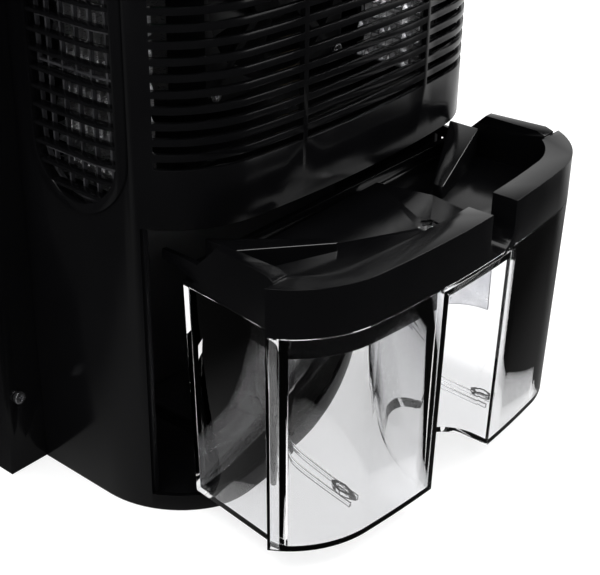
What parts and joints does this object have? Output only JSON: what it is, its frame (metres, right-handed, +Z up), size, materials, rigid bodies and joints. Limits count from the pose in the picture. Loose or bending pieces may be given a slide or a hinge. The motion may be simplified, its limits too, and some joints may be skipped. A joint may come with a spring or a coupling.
{
  "type": "dehumidifier",
  "caption": "Compact upright dehumidifier with louvred curved back, side intakes and a clear water tank that slides out of its base",
  "frame": {"origin": "on the floor plane, under the middle of the closed cabinet's width and depth", "axes": "+Z up, +Y towards the front fascia, tank slides out along -Y"},
  "size_m": [0.266, 0.1964, 0.35],
  "materials": {
    "gloss_black": "gloss",
    "satin_black": "satin",
    "clear_plastic": "clear moulded plastic, polished",
    "frosted_plastic": "frosted",
    "filter_mesh": "fine mesh",
    "aluminium_fins": "mill finish",
    "ceramic": "matte ceramic",
    "foam_rubber": "closed-cell foam",
    "bronze": "sintered bronze",
    "steel": "zinc plated",
    "board_green": "solder mask",
    "button_silver": "satin metallic paint",
    "lens_blue": "tinted",
    "feet_rubber": "matte",
    "float_foam": "fine closed-cell foam",
    "white_plastic": "satin"
  },
  "bodies": {
    "cabinet": {"rear_shell": "gloss_black", "base_tray": "satin_black", "front_fascia": "gloss_black", "top_cover": "gloss_black", "tank_bay": "satin_black", "left_intake_grille": "gloss_black", "right_intake_grille": "gloss_black", "left_filter": "filter_mesh", "right_filter": "filter_mesh", "cold_heatsink": "aluminium_fins", "hot_heatsink": "aluminium_fins", "peltier_module": "ceramic", "module_gasket": "foam_rubber", "module_clamp_screws": "steel", "fan_frame": "satin_black", "fan_bearing": "bronze", "fan_screws": "steel", "fan_shroud": "satin_black", "drip_funnel": "satin_black", "circuit_board": "board_green", "board_screws": "steel", "dc_inlet": "satin_black", "reed_switch": "satin_black", "tank_switch": "satin_black", "power_spring": "steel", "mode_spring": "steel", "indicator_lens": "lens_blue", "button_carrier": "satin_black", "fascia_screws": "steel", "base_screws": "steel", "top_screws": "steel", "rubber_feet": "feet_rubber"},
    "fan": {"fan_shaft": "steel", "fan_rotor": "satin_black"},
    "tank": {"tank_body": "clear_plastic", "tank_lid": "gloss_black", "lid_gasket": "foam_rubber", "recess_plate": "frosted_plastic", "float_pin": "clear_plastic"},
    "float": {"float_arm": "white_plastic", "float_foam": "float_foam", "float_magnet": "steel"},
    "power_button": {"power_button": "button_silver"},
    "mode_button": {"mode_button": "button_silver"},
    "switch_plunger": {"switch_plunger": "white_plastic"}
  },
  "joints": [
    {"name": "tank_slide", "type": "slide", "parent": "cabinet", "child": "tank", "axis": [0, -1, 0], "range_m": [-0.065, 0.035]},
    {"name": "float_hinge", "type": "hinge", "parent": "tank", "child": "float", "pos_m": [0.04, -0.099, 0.0936], "axis": [1, 0, 0], "range_deg": [0, 12]},
    {"name": "fan_spin", "type": "hinge", "parent": "cabinet", "child": "fan", "pos_m": [0, 0, 0.216], "axis": [0, 1, 0], "continuous": true},
    {"name": "power_press", "type": "slide", "parent": "cabinet", "child": "power_button", "axis": [0, -1, 0], "range_m": [0, 0.0012], "stiffness_N_per_m": 400, "deforming": ["power_spring"]},
    {"name": "mode_press", "type": "slide", "parent": "cabinet", "child": "mode_button", "axis": [0, -1, 0], "range_m": [0, 0.0012], "stiffness_N_per_m": 400, "deforming": ["mode_spring"]},
    {"name": "plunger_press", "type": "slide", "parent": "cabinet", "child": "switch_plunger", "axis": [0, 1, 0], "range_m": [0, 0.0025], "stiffness_N_per_m": 200}
  ]
}
